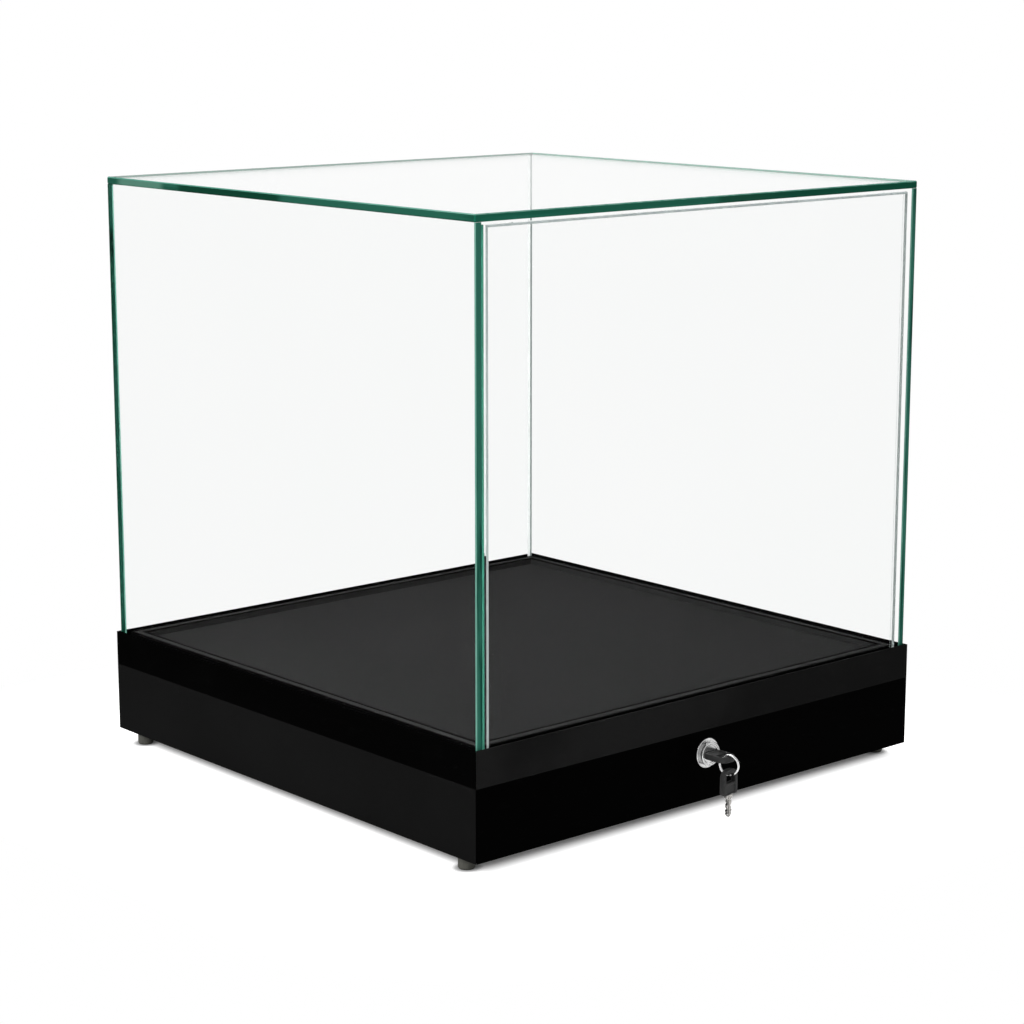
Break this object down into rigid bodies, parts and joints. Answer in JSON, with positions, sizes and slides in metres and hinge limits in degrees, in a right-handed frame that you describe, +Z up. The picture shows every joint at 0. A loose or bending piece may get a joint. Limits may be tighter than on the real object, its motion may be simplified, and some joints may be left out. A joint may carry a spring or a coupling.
{
  "type": "countertop display case",
  "caption": "Square glass countertop display case on a black base whose deck, front and front pane pull out as a locking drawer, with keys hanging in the lock.",
  "frame": {"origin": "on the countertop under the middle of the case, with the keys left out", "axes": "+Z up, -Y out of the front with the lock, +X to the right of a person at the back looking over the case at the front"},
  "size_m": [0.4, 0.4272, 0.407],
  "materials": {
    "laminate": "satin black laminate on fibreboard",
    "hardboard": "dark brown hardboard",
    "plywood": "lacquered plywood",
    "rail_metal": "black anodised",
    "screw_steel": "zinc plated",
    "liner_rubber": "matte black",
    "pane_glass": "clear, with ground green edges",
    "slide_steel": "zinc plated",
    "ball_steel": "polished",
    "bracket_steel": "zinc plated",
    "foot_rubber": "matte olive grey",
    "deck_board": "matte dark grey laminate on fibreboard",
    "border_metal": "dark grey powder coat",
    "lock_chrome": "polished",
    "cam_steel": "yellow zinc plated",
    "key_nickel": "nickel plated",
    "bow_plastic": "fine grained black",
    "ring_chrome": "polished"
  },
  "bodies": {
    "case": {"side_panel_left": "laminate", "side_panel_right": "laminate", "back_panel": "laminate", "bottom_panel": "hardboard", "corner_blocks": "plywood", "rail_left": "rail_metal", "rail_right": "rail_metal", "rail_back": "rail_metal", "rail_screws": "screw_steel", "glazing_strip": "liner_rubber", "glass_left": "pane_glass", "glass_right": "pane_glass", "glass_back": "pane_glass", "glass_top": "pane_glass", "slide_outer_left": "slide_steel", "slide_outer_right": "slide_steel", "slide_outer_screws": "screw_steel", "lock_strike": "bracket_steel", "strike_screws": "screw_steel", "rear_bumpers": "foot_rubber", "feet": "foot_rubber", "foot_screws": "screw_steel"},
    "drawer": {"drawer_front": "laminate", "front_rail": "rail_metal", "front_rail_screws": "screw_steel", "front_glazing_strip": "liner_rubber", "glass_front": "pane_glass", "drawer_side_left": "plywood", "drawer_side_right": "plywood", "drawer_back": "plywood", "drawer_back_screws": "screw_steel", "deck_panel": "deck_board", "deck_border": "border_metal", "angle_brackets": "bracket_steel", "bracket_screws": "screw_steel", "slide_inner_left": "slide_steel", "slide_inner_right": "slide_steel", "slide_inner_screws": "screw_steel", "lock_housing": "lock_chrome", "lock_nut": "cam_steel"},
    "ball_cages": {"ball_cage_left": "slide_steel", "ball_cage_right": "slide_steel", "slide_balls": "ball_steel"},
    "lock_plug": {"lock_plug": "lock_chrome", "lock_cam": "cam_steel", "cam_screw": "screw_steel"},
    "key": {"key_blade": "key_nickel", "key_bow": "bow_plastic"},
    "key_ring": {"key_ring": "ring_chrome"},
    "spare_key": {"spare_key_blade": "key_nickel", "spare_key_bow": "bow_plastic"}
  },
  "joints": [
    {"name": "drawer_slide", "type": "slide", "parent": "case", "child": "drawer", "axis": [0, -1, 0], "range_m": [0, 0.25]},
    {"name": "cage_slide", "type": "slide", "parent": "case", "child": "ball_cages", "axis": [0, -1, 0], "range_m": [0, 0.125]},
    {"name": "plug_turn", "type": "hinge", "parent": "drawer", "child": "lock_plug", "pos_m": [0, -0.2, 0.041], "axis": [0, 1, 0], "range_deg": [0, 90]},
    {"name": "key_pull", "type": "slide", "parent": "lock_plug", "child": "key", "axis": [0, -1, 0], "range_m": [0, 0.02]},
    {"name": "ring_swing", "type": "hinge", "parent": "key", "child": "key_ring", "pos_m": [0, -0.2202, 0.04401], "axis": [0.342, -0.9397, 0], "range_deg": [-15, 15]},
    {"name": "spare_swing", "type": "hinge", "parent": "key_ring", "child": "spare_key", "pos_m": [0, -0.2202, 0.03051], "axis": [0.342, -0.9397, 0], "range_deg": [-25, 25]}
  ],
  "couplings": [
    {"joint": "cage_slide", "follows": "drawer_slide", "ratio": 0.5}
  ]
}
